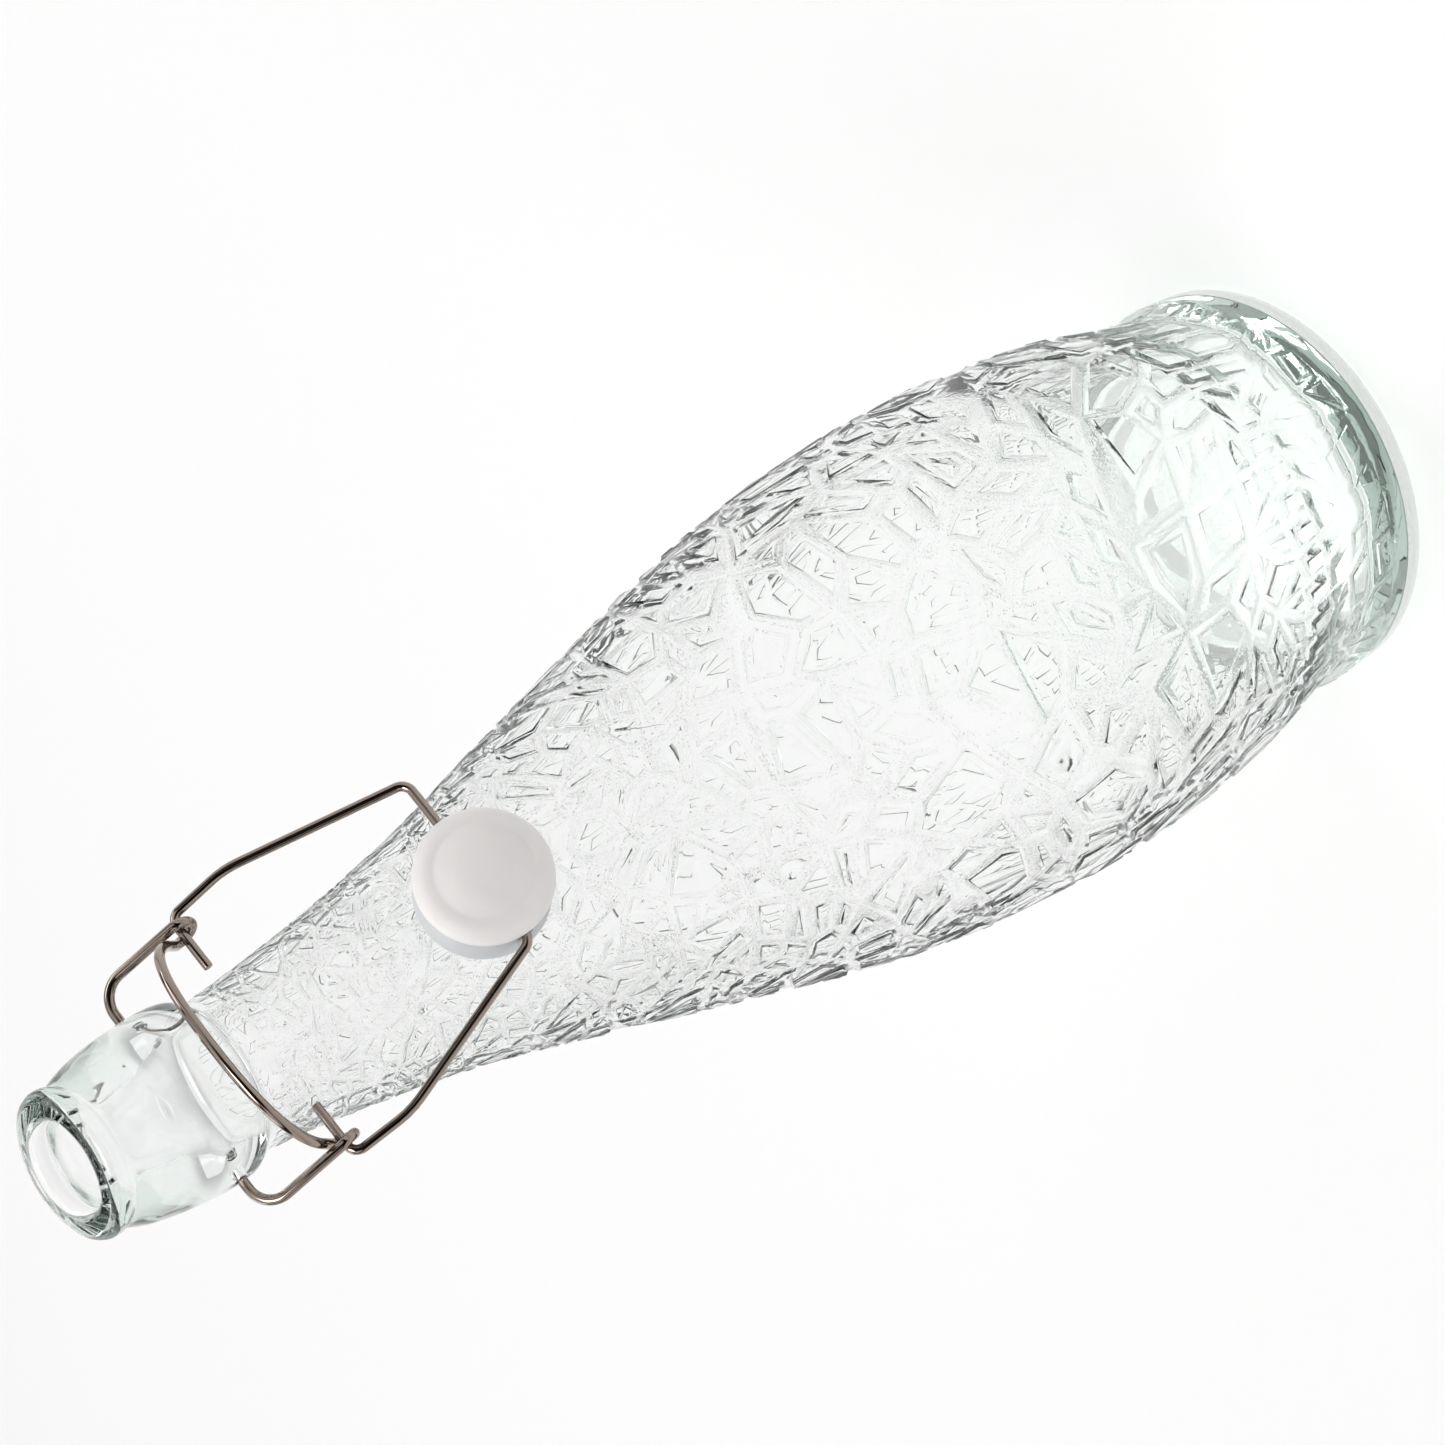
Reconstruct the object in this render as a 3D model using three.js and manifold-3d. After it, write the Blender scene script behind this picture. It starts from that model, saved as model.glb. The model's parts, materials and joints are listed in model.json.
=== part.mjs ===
// Swing-top glass growler, one litre. Millimetres, +Z up, origin at the centre of the base.
// The closure hangs down the front, which faces -Y. Its pivot axis runs along X.
import * as THREE from 'three';
import { mergeVertices } from 'three/addons/utils/BufferGeometryUtils.js';
import Module from 'manifold-3d';

const wasm = await Module();
wasm.setup();

// ---- Driving dimensions -------------------------------------------------------------------

const TOTAL_HEIGHT = 310;

// Fineness of the meshes: counts of steps, and degrees turned in one step of a bend
const LATHE_SEGMENTS = 48;
const STOPPER_SEGMENTS = 40;
const OUTSIDE_STEPS = 28;
const INSIDE_STEPS = 20;
const COLLAR_STEPS = 8;
const COIL_STEPS = 14;
const BOW_STEPS = 30;
const WIRE_SIDES = 10;
const LEVER_BEND_STEP = 15;
const BAIL_BEND_STEP = 12;

// Bottle
const BASE_RING_INNER = 30;        // inner radius of the flat ring that the bottle stands on
const BASE_RING_OUTER = 38.6;
const FOOT_ROUNDING = 2.9;         // quarter round from the ring to the foot's side
const PUNT_RISE = 3.2;             // how far the middle of the base is pushed up
const WALL = 3.6;
const FLOOR_Z = 9.5;               // inside floor at its edge
const FLOOR_CROWN = 2;             // the inside floor rises this much to its middle
const BORE_RADIUS = 8.63;
const BORE_END_Z = 292;            // the straight bore ends here and widens into the neck
const NECK_INSIDE_Z = 283;
const WALL_FROM_Z = 18.5;          // the inside keeps to the wall thickness between these heights
const WALL_TO_Z = 270;
const HEEL = { x: 30.6, rounding: 7 };
const LIP_RADIUS = 14.27;
const LIP_TOP_INNER = 9.9;
const LIP_TOP_OUTER = 12.7;

// Closure: positions are given as distance in front of the bottle's axis, and height
const PIVOT_Z = 284;
const PIVOT_HOLE_RADIUS = 1.35;
const PIVOT_HOLE_BOTTOM = 13.4;    // distance of the blind hole's end from the bottle's axis
const EYE = { front: 11, z: 269.8 };

const LEVER_WIRE = 0.98;           // wire radius
const LEVER_END_X = 13.9;
const LEVER_BEND = 5;
const EYE_COIL = 2.3;              // radius of the coil's centre line
const EYE_OUTER_X = 24.5;
const EYE_INNER_X = 22.3;
const BOW_ANGLE = 47;              // degrees above the horizontal
const BOW_DEPTH = 19;
const BOW_POWER = 2.5;             // superellipse power of the thumb bow

const BAIL_WIRE = 0.9;
const BAIL_ANGLE = 31.5;           // degrees from straight down, towards the front
const BAIL_LENGTH = 46.5;          // eye axis to crossbar
const BAIL_STUB_X = 16.8;          // end of the stub that passes through the eye
const BAIL_EYE_X = 26.6;
const BAIL_SHOULDER = { x: 27.2, along: 12.3, bend: 9 };
const BAIL_CORNER = { x: 17.9, bend: 2.4 };
const BAIL_EYE_BEND = 2.2;
const BAIL_LEAN = 1.8;             // the crossbar is offset this far to +X

// Stopper, measured along its own axis from the crossbar: dome side positive
const STOPPER_X = -2.6;
const STOPPER_TILT = 20;           // degrees that the dome points above the horizontal
const CAP_RADIUS = 12.5;
const RIM_BOTTOM = 1.2;
const SHOULDER_FOOT = 2.2;         // the rim's upright side ends here
const CAP_SHOULDER = 3.2;          // rounding above it
const CROWN_RADIUS = 7.2;          // foot of the raised middle
const CROWN_FOOT = 5.6;
const CROWN_TOP = 7.6;
const STEM_RADIUS = 8.4;
const STEM_END = -4.6;
const CROSS_HOLE_RADIUS = 1.25;
const SEAL_RADIUS = 12.2;
const SEAL_TOP = 0.9;
const SEAL_BOTTOM = -7.8;
const SEAL_ROUNDING = 2.6;
const PLUG_RADIUS = 7.9;
const PLUG_END = -9.6;
const SEAL_SLOT_RADIUS = 1.6;
const FIT_GAP = 0.3;
const DRILL_REACH = 20;            // cutters for the holes end this far from the axis

// ---- Helpers ------------------------------------------------------------------------------

const v2 = (x, y) => new THREE.Vector2(x, y);
const rad = THREE.MathUtils.degToRad;

// Points of a circular arc from angle a to angle b, in degrees.
function arc(cx, cy, radius, a, b, steps) {
  const points = [];
  for (let i = 0; i <= steps; i++) {
    const t = rad(a + (b - a) * i / steps);
    points.push(v2(cx + radius * Math.cos(t), cy + radius * Math.sin(t)));
  }
  return points;
}

// A body of revolution about +Z from (radius, z) points that run up the outside.
function lathe(profile, segments = LATHE_SEGMENTS) {
  const geometry = new THREE.LatheGeometry(profile, segments);
  geometry.rotateX(Math.PI / 2);
  return geometry;
}

function toSolid(geometry) {
  const bare = geometry.clone();
  bare.deleteAttribute('normal');
  bare.deleteAttribute('uv');
  const merged = mergeVertices(bare, 1e-4);
  const mesh = new wasm.Mesh({
    numProp: 3,
    vertProperties: new Float32Array(merged.attributes.position.array),
    triVerts: new Uint32Array(merged.index.array),
  });
  mesh.merge();
  return new wasm.Manifold(mesh);
}

function toGeometry(solid) {
  const mesh = solid.getMesh();
  const geometry = new THREE.BufferGeometry();
  geometry.setAttribute('position', new THREE.BufferAttribute(mesh.vertProperties, 3));
  geometry.setIndex(new THREE.BufferAttribute(mesh.triVerts, 1));
  geometry.computeVertexNormals();
  return geometry;
}

// A cylinder along X from x0 to x1, centred on (y, z).
function rodAlongX(radius, x0, x1, y, z, sides = 16) {
  const rod = new THREE.CylinderGeometry(radius, radius, x1 - x0, sides);
  rod.rotateZ(Math.PI / 2);
  rod.translate((x0 + x1) / 2, y, z);
  return rod;
}

// Follows the corner points with straight runs, each corner rounded by its own radius.
function roundedRoute(corners, step) {
  const route = [corners[0].at.clone()];
  for (let i = 1; i < corners.length - 1; i++) {
    const at = corners[i].at;
    const back = corners[i - 1].at.clone().sub(at).normalize();
    const ahead = corners[i + 1].at.clone().sub(at).normalize();
    const half = back.angleTo(ahead) / 2;
    const tangent = corners[i].bend / Math.tan(half);
    const start = at.clone().addScaledVector(back, tangent);
    const normal = back.clone().add(ahead).normalize();
    const centre = at.clone().addScaledVector(normal, corners[i].bend / Math.sin(half));
    const turn = Math.PI - 2 * half;
    const steps = Math.max(2, Math.ceil(turn / step));
    const spin = new THREE.Vector3().crossVectors(ahead, back).normalize();
    for (let k = 0; k <= steps; k++) {
      const arm = start.clone().sub(centre).applyAxisAngle(spin, turn * k / steps);
      route.push(centre.clone().add(arm));
    }
  }
  route.push(corners[corners.length - 1].at.clone());
  return route;
}

// A round wire swept along a list of points, one section at each point.
function wire(points, radius, sides) {
  const path = new THREE.Curve();
  const last = points.length - 1;
  path.getPoint = (t, target = new THREE.Vector3()) => {
    const place = Math.min(t * last, last - 1e-9);
    const i = Math.floor(place);
    return target.lerpVectors(points[i], points[i + 1], place - i);
  };
  path.getPointAt = path.getPoint;
  path.getTangentAt = (t, target = new THREE.Vector3()) => {
    const i = Math.round(t * last);
    return target.subVectors(points[Math.min(i + 1, last)], points[Math.max(i - 1, 0)]).normalize();
  };
  const section = new THREE.Shape(arc(0, 0, radius, 0, 360, sides).slice(0, sides));
  const swept = { steps: last, extrudePath: path, bevelEnabled: false, curveSegments: 1 };
  return new THREE.ExtrudeGeometry(section, swept);
}

// The front of the bottle is -Y, so a place in the closure's side view is turned into a point.
const place = (x, front, z) => new THREE.Vector3(x, -front, z);

function named(name, geometry, color, roughness, metalness = 0) {
  const mesh = new THREE.Mesh(geometry, new THREE.MeshStandardMaterial({ color, roughness, metalness }));
  mesh.name = name;
  return mesh;
}

// ---- Glass bottle -------------------------------------------------------------------------

// Radius and height of the body's outside: foot, waist, belly, shoulder and neck.
const BODY_OUTLINE = [
  [41.5, 3.4], [41.9, 11], [41.2, 18.5], [42.4, 26.5], [45.3, 37], [47.5, 50], [49, 66.5],
  [49.4, 83], [48.7, 102], [46, 124], [41.8, 145.5], [36.3, 167.5], [31.5, 186], [26.7, 204.5],
  [22, 223], [18.6, 241.5], [16.3, 257.5], [15, 268], [14.6, 275.5],
];

function bodyCurve() {
  return new THREE.SplineCurve(BODY_OUTLINE.map(([r, z]) => v2(r, z)));
}

function bottleOutside() {
  const foot = arc(BASE_RING_OUTER, FOOT_ROUNDING, FOOT_ROUNDING, -90, 0, 3);
  const body = bodyCurve().getPoints(OUTSIDE_STEPS);
  const collar = new THREE.SplineCurve([
    v2(14.9, 277.2), v2(16.8, 279.4), v2(17.3, 284.5), v2(16.8, 292.5), v2(15.4, 300.5), v2(13.6, 305.2),
  ]).getPoints(COLLAR_STEPS);
  const lipBead = [
    v2(14.1, 306.2), v2(LIP_RADIUS, 307.6), v2(13.9, 309.1), v2(LIP_TOP_OUTER, TOTAL_HEIGHT),
  ];
  return [...foot, ...body, ...collar, ...lipBead];
}

// The inside follows the outside at the wall thickness, from the neck down to the floor.
function bottleInside() {
  const mouth = [v2(LIP_TOP_INNER, TOTAL_HEIGHT), v2(8.95, 309.3), v2(BORE_RADIUS, 308)];
  const throat = [
    v2(BORE_RADIUS, BORE_END_Z), v2(9.3, 289), v2(10.5, 286), v2(11, NECK_INSIDE_Z), v2(11, 275.5),
  ];
  const outer = bodyCurve().getPoints(INSIDE_STEPS);
  const straight = outer.filter((p) => p.y > WALL_FROM_Z && p.y < WALL_TO_Z);
  const wall = straight.map((p) => v2(p.x - WALL, p.y)).reverse();
  const heel = arc(HEEL.x, FLOOR_Z + HEEL.rounding, HEEL.rounding, 0, -90, 4);
  const floor = [v2(16, FLOOR_Z + FLOOR_CROWN * 0.75), v2(0, FLOOR_Z + FLOOR_CROWN)];
  return [...mouth, ...throat, ...wall, ...heel, ...floor];
}

function glassBottle() {
  const punt = [v2(0, PUNT_RISE), v2(16, PUNT_RISE * 0.75), v2(26.5, PUNT_RISE * 0.2), v2(BASE_RING_INNER, 0)];
  let solid = toSolid(lathe([...punt, ...bottleOutside(), ...bottleInside()]));
  for (const side of [-1, 1]) {
    const hole = rodAlongX(PIVOT_HOLE_RADIUS, PIVOT_HOLE_BOTTOM, DRILL_REACH, 0, PIVOT_Z);
    hole.rotateZ(side > 0 ? 0 : Math.PI);
    solid = solid.subtract(toSolid(hole));
  }
  return named('glass_bottle', toGeometry(solid), 0xdfeee6, 0.05);
}

// ---- Lever wire: pivot ends, two coiled eyes and the thumb bow ------------------------------

// One side, from the pivot hole to the eye's inner turn, for x > 0.
function leverSide() {
  const drop = PIVOT_Z - EYE.z;
  const reach = Math.hypot(EYE.front, drop);
  const armHeading = Math.atan2(-drop, EYE.front) + Math.asin(EYE_COIL / reach);
  const bowHeading = rad(BOW_ANGLE);
  const coilStart = armHeading + Math.PI / 2;
  const coilTurn = armHeading + 2 * Math.PI - bowHeading;
  const onCoil = (turn, x) => place(
    x,
    EYE.front + EYE_COIL * Math.cos(coilStart - turn),
    EYE.z + EYE_COIL * Math.sin(coilStart - turn),
  );
  const arm = roundedRoute([
    { at: place(LEVER_END_X, 0, PIVOT_Z) },
    { at: place(EYE_OUTER_X, 0, PIVOT_Z), bend: LEVER_BEND },
    { at: onCoil(0, EYE_OUTER_X) },
  ], rad(LEVER_BEND_STEP));
  const coil = [];
  for (let i = 1; i <= COIL_STEPS; i++) {
    const t = i / COIL_STEPS;
    coil.push(onCoil(coilTurn * t, EYE_OUTER_X + (EYE_INNER_X - EYE_OUTER_X) * t));
  }
  return [...arm, ...coil];
}

function leverWire() {
  const side = leverSide();
  const heading = rad(BOW_ANGLE);
  const legStart = side[side.length - 1];
  const bow = [];
  for (let i = 2; i <= BOW_STEPS - 2; i++) {
    const t = Math.PI * (i / BOW_STEPS);
    const depth = BOW_DEPTH * Math.pow(Math.sin(t), 2 / BOW_POWER);
    const x = EYE_INNER_X * Math.sign(Math.cos(t)) * Math.pow(Math.abs(Math.cos(t)), 2 / BOW_POWER);
    bow.push(place(x, -legStart.y + depth * Math.cos(heading), legStart.z + depth * Math.sin(heading)));
  }
  const mirrored = side.map((p) => new THREE.Vector3(-p.x, p.y, p.z)).reverse();
  return named('lever_wire', wire([...side, ...bow, ...mirrored], LEVER_WIRE, WIRE_SIDES), 0xb8b2aa, 0.22, 1);
}

// ---- Bail wire: stubs through the eyes, shoulders and the crossbar ---------------------------

function bailWire() {
  const along = { front: Math.sin(rad(BAIL_ANGLE)), z: -Math.cos(rad(BAIL_ANGLE)) };
  const inBail = (x, distance) => place(
    x + BAIL_LEAN * distance / BAIL_LENGTH,
    EYE.front + distance * along.front,
    EYE.z + distance * along.z,
  );
  const half = (side) => [
    { at: inBail(side * BAIL_STUB_X, 0) },
    { at: inBail(side * BAIL_EYE_X, 0), bend: BAIL_EYE_BEND },
    { at: inBail(side * BAIL_SHOULDER.x, BAIL_SHOULDER.along), bend: BAIL_SHOULDER.bend },
    { at: inBail(side * BAIL_CORNER.x, BAIL_LENGTH), bend: BAIL_CORNER.bend },
  ];
  const corners = [...half(1), ...half(-1).reverse()];
  const route = roundedRoute(corners, rad(BAIL_BEND_STEP));
  return named('bail_wire', wire(route, BAIL_WIRE, WIRE_SIDES), 0xb8b2aa, 0.22, 1);
}

// ---- Stopper: cap and seal, built about +Z from the crossbar and then tilted -----------------

function stopperCap() {
  const crown = [v2(CROWN_RADIUS, CROWN_FOOT), v2(5.9, 6.7), v2(3.6, 7.4), v2(0, CROWN_TOP)];
  const shoulder = arc(CAP_RADIUS - CAP_SHOULDER, SHOULDER_FOOT, CAP_SHOULDER, 0, 75, 5);
  const profile = [
    v2(0, STEM_END), v2(STEM_RADIUS - 0.8, STEM_END), v2(STEM_RADIUS, STEM_END + 0.8),
    v2(STEM_RADIUS, RIM_BOTTOM), v2(CAP_RADIUS - 0.4, RIM_BOTTOM), v2(CAP_RADIUS, RIM_BOTTOM + 0.4),
    ...shoulder, ...crown,
  ];
  const hole = rodAlongX(CROSS_HOLE_RADIUS, -DRILL_REACH, DRILL_REACH, 0, 0);
  const solid = toSolid(lathe(profile, STOPPER_SEGMENTS)).subtract(toSolid(hole));
  return named('stopper_cap', toGeometry(solid), 0xf2f0ee, 0.5);
}

function stopperSeal() {
  const cup = STEM_RADIUS + FIT_GAP;
  const cupFloor = STEM_END - FIT_GAP;
  const profile = [
    v2(0, PLUG_END), v2(PLUG_RADIUS - 1, PLUG_END), v2(PLUG_RADIUS, PLUG_END + 1), v2(PLUG_RADIUS, SEAL_BOTTOM),
    ...arc(SEAL_RADIUS - SEAL_ROUNDING, SEAL_BOTTOM + SEAL_ROUNDING, SEAL_ROUNDING, -90, 0, 5),
    v2(SEAL_RADIUS, SEAL_TOP), v2(cup, SEAL_TOP), v2(cup, cupFloor), v2(0, cupFloor),
  ];
  const hole = rodAlongX(SEAL_SLOT_RADIUS, -DRILL_REACH, DRILL_REACH, 0, 0);
  const solid = toSolid(lathe(profile, STOPPER_SEGMENTS)).subtract(toSolid(hole));
  return named('stopper_seal', toGeometry(solid), 0xe4e7e8, 0.4);
}

// ---- Assembly -------------------------------------------------------------------------------

const stopper = new THREE.Group();
stopper.add(stopperCap(), stopperSeal());
const bailTilt = rad(BAIL_ANGLE);
stopper.position.copy(place(
  STOPPER_X,
  EYE.front + BAIL_LENGTH * Math.sin(bailTilt),
  EYE.z - BAIL_LENGTH * Math.cos(bailTilt),
));
stopper.rotation.x = rad(90 - STOPPER_TILT);

const growler = new THREE.Group();
growler.add(glassBottle(), leverWire(), bailWire(), stopper);
growler.updateMatrixWorld(true);

export default growler;
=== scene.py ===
"""Looks of a swing-top glass growler: relief glass, steel wires, stopper, seal and the studio around them."""

import bisect
import json
import math
import random

import bmesh
import bpy
from bpy.props import FloatProperty, FloatVectorProperty, IntProperty, PointerProperty
from mathutils import Matrix, Quaternion, Vector, geometry, noise


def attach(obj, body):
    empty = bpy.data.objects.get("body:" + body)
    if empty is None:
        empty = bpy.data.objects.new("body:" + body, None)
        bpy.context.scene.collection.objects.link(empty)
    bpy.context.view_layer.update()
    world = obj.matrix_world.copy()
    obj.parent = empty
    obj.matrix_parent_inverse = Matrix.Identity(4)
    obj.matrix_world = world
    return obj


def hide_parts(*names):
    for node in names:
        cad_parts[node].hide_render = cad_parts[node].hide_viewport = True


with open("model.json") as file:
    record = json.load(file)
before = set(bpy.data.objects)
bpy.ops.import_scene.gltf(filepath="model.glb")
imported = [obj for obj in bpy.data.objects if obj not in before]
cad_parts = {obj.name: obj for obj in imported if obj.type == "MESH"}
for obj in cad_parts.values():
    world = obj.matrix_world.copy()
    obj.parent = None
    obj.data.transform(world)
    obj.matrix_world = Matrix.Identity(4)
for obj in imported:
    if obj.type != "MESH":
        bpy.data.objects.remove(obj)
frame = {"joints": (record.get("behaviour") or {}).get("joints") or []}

bl_info = {
    "name": "Swing-top growler",
    "version": (1, 0, 0),
    "blender": (4, 5, 0),
    "location": "View3D > Sidebar > Growler",
    "description": "Builds a relief glass growler with its wire swing-top closure",
    "category": "Add Mesh",
}

MM = 0.001
FULL_TURN = 2 * math.pi
POLE_MERGE = 0.001 * MM
SEAM_MERGE = 0.002 * MM

JOINTS = {joint["name"]: joint for joint in frame["joints"]}
PIVOT = Vector(JOINTS["lever_pivot"]["pos_m"])
EYE = Vector(JOINTS["bail_pivot"]["pos_m"])
CROSSBAR = Vector(JOINTS["stopper_turn"]["pos_m"])
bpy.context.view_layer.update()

# Outline of the glass as (radius, height) in millimetres, from the foot's side to the collar.
BODY_OUTLINE = (
    (41.5, 3.4), (41.9, 11), (41.2, 18.5), (42.4, 26.5), (45.3, 37), (47.5, 50), (49, 66.5),
    (49.4, 83), (48.7, 102), (46, 124), (41.8, 145.5), (36.3, 167.5), (31.5, 186), (26.7, 204.5),
    (22, 223), (18.6, 241.5), (16.3, 257.5), (15, 268), (14.6, 275.5),
)
UNDER_COLLAR_OUTLINE = ((14.7, 274.3), (14.62, 275.9))
COLLAR_OUTLINE = ((14.9, 277.2), (16.8, 279.4), (17.3, 284.5), (16.8, 292.5), (15.4, 300.5), (13.6, 305.2))
LIP_OUTLINE = ((13.55, 305.6), (14.0, 306.4), (14.25, 307.4), (14.2, 308.4), (13.75, 309.3), (12.9, 309.85))
MOUTH_OUTLINE = ((12.3, 310.0), (10.2, 310.0), (9.5, 309.85), (8.95, 309.3), (8.7, 308.5), (8.63, 307.4))
THROAT_OUTLINE = ((8.63, 300), (8.63, 293), (8.8, 291), (9.6, 288.4), (10.6, 286.2), (11, 283.5), (11, 275.5))

# The underside, from the middle outward, and the top of the base inside, from the wall inward.
PUNT_OUTLINE = ((0, 3.2), (8, 3.05), (16, 2.5), (22, 1.6), (27, 0.6), (30, 0.08), (30.8, 0))
STANDING_RING_TO = (38.2, 0)
HEEL_CENTRE = (38.6, 2.9)
HEEL_RADIUS = 2.9
FOOT_SIDE_OUTLINE = ((41.5, 3.1), (41.68, 5.5), (41.85, 8.2))
INNER_HEEL_CENTRE = (30.6, 16.5)
INNER_HEEL_RADIUS = 7
FLOOR_OUTLINE = ((24, 9.9), (16, 10.9), (8, 11.4), (0, 11.5))
INNER_WALL_FROM = 19
INNER_WALL_TO = 270


# ---- Settings -----------------------------------------------------------------------------------

def srgb(hex_text):
    """A hex colour as linear red, green and blue."""
    channels = [int(hex_text[i:i + 2], 16) / 255 for i in (1, 3, 5)]
    return tuple(c / 12.92 if c <= 0.04045 else ((c + 0.055) / 1.055) ** 2.4 for c in channels)


def length(name, default, description):
    return FloatProperty(
        name=name, default=default, description=description, min=0.0, max=1.0, unit="LENGTH", precision=5
    )


def colour(name, default, description):
    return FloatVectorProperty(
        name=name, default=srgb(default), description=description, size=3, subtype="COLOR", min=0, max=1
    )


class GlassSettings(bpy.types.PropertyGroup):
    wall: length("Wall", 3.6 * MM, "Mean thickness of the glass wall")
    relief_from: length("Relief from", 9.8 * MM, "Height where the crackle relief starts")
    relief_to: length("Relief to", 272.5 * MM, "Height where the crackle relief ends under the collar")
    corners: IntProperty(name="Corners", default=1250, min=50, description="Corner points of the plates")
    columns: IntProperty(name="Columns", default=32, min=8, description="Corner points round each end")
    seed: IntProperty(name="Seed", default=11, description="Layout of the crackle plates")
    channel: FloatProperty(name="Channel", default=0.024, description="Half a channel's width over radius")
    slope: FloatProperty(name="Slope", default=0.010, description="A sloped edge's width over radius")
    tint: colour("Tint", "#b1d1c2", "Colour that deep glass takes")


class WireSettings(bpy.types.PropertyGroup):
    lever_radius: length("Lever wire", 0.98 * MM, "Radius of the lever's wire")
    bail_radius: length("Bail wire", 0.9 * MM, "Radius of the bail's wire")
    coil_radius: length("Eye coil", 2.3 * MM, "Radius of the coiled eye's centre line")
    bow_depth: length("Bow depth", 19 * MM, "Reach of the thumb bow from the eyes")
    bail_length: length("Bail length", 46.5 * MM, "Distance from the eyes to the crossbar")
    steel: colour("Steel", "#a09389", "Colour of the polished wire")


class StopperSettings(bpy.types.PropertyGroup):
    cap_radius: length("Cap radius", 12.5 * MM, "Radius of the cap's rim")
    seal_radius: length("Seal radius", 12.2 * MM, "Radius of the silicone seal")
    plug_radius: length("Plug radius", 7.9 * MM, "Radius of the plug that enters the bore")
    cap_colour: colour("Cap", "#efedeb", "Colour of the moulded cap")
    seal_colour: colour("Seal", "#c9cbcd", "Colour of the silicone seal")


class StudioSettings(bpy.types.PropertyGroup):
    floor_colour: colour("Floor", "#fbfbfa", "Colour of the pale floor")
    softbox_power: FloatProperty(
        name="Softboxes", default=9, min=0, description="Power in watts that each softbox has a share of"
    )


# ---- Mesh helpers ---------------------------------------------------------------------------------

def curve_through(points, steps):
    """Points on a smooth curve through the given ones, with the same number of steps in each span."""
    out = []
    last = len(points) - 1
    for i in range(last):
        p0, p1, p2, p3 = (Vector(points[max(0, min(last, i + k))]) for k in (-1, 0, 1, 2))
        for k in range(steps):
            t = k / steps
            out.append(0.5 * (
                2 * p1 + (p2 - p0) * t + (2 * p0 - 5 * p1 + 4 * p2 - p3) * t * t
                + (3 * p1 - 3 * p2 + p3 - p0) * t * t * t
            ))
    out.append(Vector(points[last]))
    return out


def arc(centre, radius, start, end, steps):
    """Points of an arc in the radius and height plane, from one angle to another in degrees."""
    points = []
    for i in range(steps + 1):
        angle = math.radians(start + (end - start) * i / steps)
        points.append((centre[0] + radius * math.cos(angle), centre[1] + radius * math.sin(angle)))
    return points


def spun(profile, segments):
    """A bmesh of (radius, height) points in millimetres turned about the vertical axis."""
    bm = bmesh.new()
    verts = [bm.verts.new((r * MM, 0, z * MM)) for r, z in profile]
    edges = [bm.edges.new(pair) for pair in zip(verts, verts[1:])]
    bmesh.ops.spin(
        bm, geom=verts + edges, cent=(0, 0, 0), axis=(0, 0, 1), angle=FULL_TURN,
        steps=segments, use_merge=True
    )
    bmesh.ops.remove_doubles(bm, verts=bm.verts, dist=POLE_MERGE)
    return bm


def make_object(name, bm, body, node, material):
    """Turns a bmesh into a finished piece that rides on a body and stands for a CAD node."""
    mesh = bpy.data.meshes.new(name)
    bm.to_mesh(mesh)
    bm.free()
    mesh.shade_smooth()
    piece = bpy.data.objects.new(name, mesh)
    bpy.context.scene.collection.objects.link(piece)
    mesh.materials.append(material)
    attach(piece, body)
    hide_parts(node)
    return piece


DRILL_SIDES = 32


def drill(piece, radius, start, end):
    """Cuts a round hole through a piece, from one point to another."""
    bm = bmesh.new()
    run = end - start
    bmesh.ops.create_cone(
        bm, cap_ends=True, segments=DRILL_SIDES, radius1=radius, radius2=radius, depth=run.length,
        matrix=Matrix.Translation((start + end) / 2) @ run.to_track_quat("Z", "Y").to_matrix().to_4x4()
    )
    mesh = bpy.data.meshes.new("drill")
    bm.to_mesh(mesh)
    bm.free()
    cutter = bpy.data.objects.new("drill", mesh)
    bpy.context.scene.collection.objects.link(cutter)
    cut = piece.modifiers.new("Hole", "BOOLEAN")
    cut.operation = "DIFFERENCE"
    cut.solver = "EXACT"
    cut.object = cutter
    bake_modifiers(piece)
    bpy.data.objects.remove(cutter)
    bpy.data.meshes.remove(mesh)


def bake_modifiers(piece):
    """Replaces a piece's mesh with what its modifiers make of it."""
    bpy.context.view_layer.update()
    finished = piece.evaluated_get(bpy.context.evaluated_depsgraph_get())
    made = bpy.data.meshes.new_from_object(finished)
    piece.modifiers.clear()
    piece.data = made


def weigh_normals(piece):
    """Lets large faces set the shading, so that plates look flat between their rounded edges."""
    weigh = piece.modifiers.new("Weighted normals", "WEIGHTED_NORMAL")
    weigh.mode = "FACE_AREA"
    weigh.weight = 50
    weigh.keep_sharp = False


def require_closed(piece):
    """Stops the build if a piece's mesh has an open or doubled edge."""
    bm = bmesh.new()
    bm.from_mesh(piece.data)
    open_edges = sum(not e.is_manifold for e in bm.edges)
    bm.free()
    if open_edges:
        raise RuntimeError(f"{piece.name} has {open_edges} open edges")


# ---- Materials --------------------------------------------------------------------------------------

def new_material(name):
    material = bpy.data.materials.new(name)
    material.use_nodes = True
    tree = material.node_tree
    tree.nodes.clear()
    output = add_node(tree, "ShaderNodeOutputMaterial")
    shader = add_node(tree, "ShaderNodeBsdfPrincipled")
    tree.links.new(shader.outputs["BSDF"], output.inputs["Surface"])
    return material, tree, shader, output


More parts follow.
